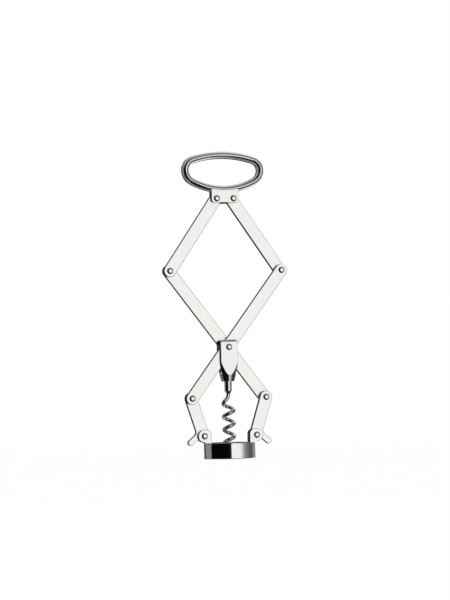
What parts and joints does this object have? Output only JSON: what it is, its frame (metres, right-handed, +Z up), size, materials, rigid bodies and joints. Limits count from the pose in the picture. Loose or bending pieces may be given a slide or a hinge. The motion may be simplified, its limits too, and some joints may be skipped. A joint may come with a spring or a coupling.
{
  "type": "concertina corkscrew",
  "caption": "Lazy-tongs corkscrew of flat steel bars with an oval loop handle, a forked worm hub and a bottle collar that the bars fold down to.",
  "frame": {"origin": "centre of the bottle collar's bottom rim, on the table", "axes": "+Z up along the worm, +X to the right as seen from the front, front towards -Y"},
  "size_m": [0.082, 0.033, 0.1974],
  "materials": {
    "flat_polished_steel": "mirror-polished flat bar",
    "round_polished_steel": "mirror-polished turned and drawn steel",
    "rivet_steel": "polished domed heads",
    "worm_steel": "plated wire with a satin sheen"
  },
  "bodies": {
    "collar": {"bottle_collar": "round_polished_steel", "left_lug": "flat_polished_steel", "right_lug": "flat_polished_steel", "rivet_lug_left": "rivet_steel", "rivet_lug_right": "rivet_steel"},
    "lower_left": {"lower_left_link": "flat_polished_steel"},
    "lower_right": {"lower_right_link": "flat_polished_steel"},
    "front_bar": {"front_crossing_bar": "flat_polished_steel", "rivet_elbow_right": "rivet_steel", "rivet_foot_left": "rivet_steel"},
    "back_bar": {"back_crossing_bar": "flat_polished_steel", "rivet_elbow_left": "rivet_steel", "rivet_foot_right": "rivet_steel"},
    "hub": {"worm_hub": "round_polished_steel", "worm": "worm_steel", "rivet_centre": "rivet_steel"},
    "upper_left": {"upper_left_link": "flat_polished_steel"},
    "upper_right": {"upper_right_link": "flat_polished_steel"},
    "handle": {"handle_loop": "round_polished_steel", "handle_bracket": "flat_polished_steel", "rivet_top_left": "rivet_steel", "rivet_top_right": "rivet_steel"}
  },
  "joints": [
    {"name": "left_lug_pivot", "type": "hinge", "parent": "collar", "child": "lower_left", "pos_m": [-0.0169, 0, 0.0147], "axis": [0, -1, 0], "range_deg": [-8.23, 47.43]},
    {"name": "right_lug_pivot", "type": "hinge", "parent": "collar", "child": "lower_right", "pos_m": [0.0169, 0, 0.0147], "axis": [0, 1, 0], "range_deg": [-8.23, 47.43]},
    {"name": "left_foot_pivot", "type": "hinge", "parent": "lower_left", "child": "front_bar", "pos_m": [-0.02449, 0, 0.03883], "axis": [0, 1, 0], "range_deg": [-14.92, 85.92]},
    {"name": "right_foot_pivot", "type": "hinge", "parent": "lower_right", "child": "back_bar", "pos_m": [0.02449, 0, 0.03883], "axis": [0, -1, 0], "range_deg": [-14.92, 85.92]},
    {"name": "centre_pivot", "type": "hinge", "parent": "front_bar", "child": "hub", "pos_m": [0, 0, 0.07134], "axis": [0, -1, 0], "range_deg": [-6.69, 38.49]},
    {"name": "right_elbow_pivot", "type": "hinge", "parent": "front_bar", "child": "upper_right", "pos_m": [0.03707, 0, 0.12053], "axis": [0, -1, 0], "range_deg": [-13.77, 79.28]},
    {"name": "left_elbow_pivot", "type": "hinge", "parent": "back_bar", "child": "upper_left", "pos_m": [-0.03707, 0, 0.12053], "axis": [0, 1, 0], "range_deg": [-13.77, 79.28]},
    {"name": "right_handle_pivot", "type": "hinge", "parent": "upper_right", "child": "handle", "pos_m": [0.00555, 0, 0.16682], "axis": [0, 1, 0], "range_deg": [-7.09, 40.81]}
  ],
  "couplings": [
    {"joint": "right_lug_pivot", "follows": "left_lug_pivot", "ratio": 1},
    {"joint": "left_foot_pivot", "follows": "left_lug_pivot", "ratio": 1.8112},
    {"joint": "right_foot_pivot", "follows": "left_lug_pivot", "ratio": 1.8112},
    {"joint": "centre_pivot", "follows": "left_lug_pivot", "ratio": 0.8112},
    {"joint": "right_elbow_pivot", "follows": "left_lug_pivot", "ratio": 1.6714},
    {"joint": "left_elbow_pivot", "follows": "left_lug_pivot", "ratio": 1.6714},
    {"joint": "right_handle_pivot", "follows": "left_lug_pivot", "ratio": 0.8602}
  ]
}
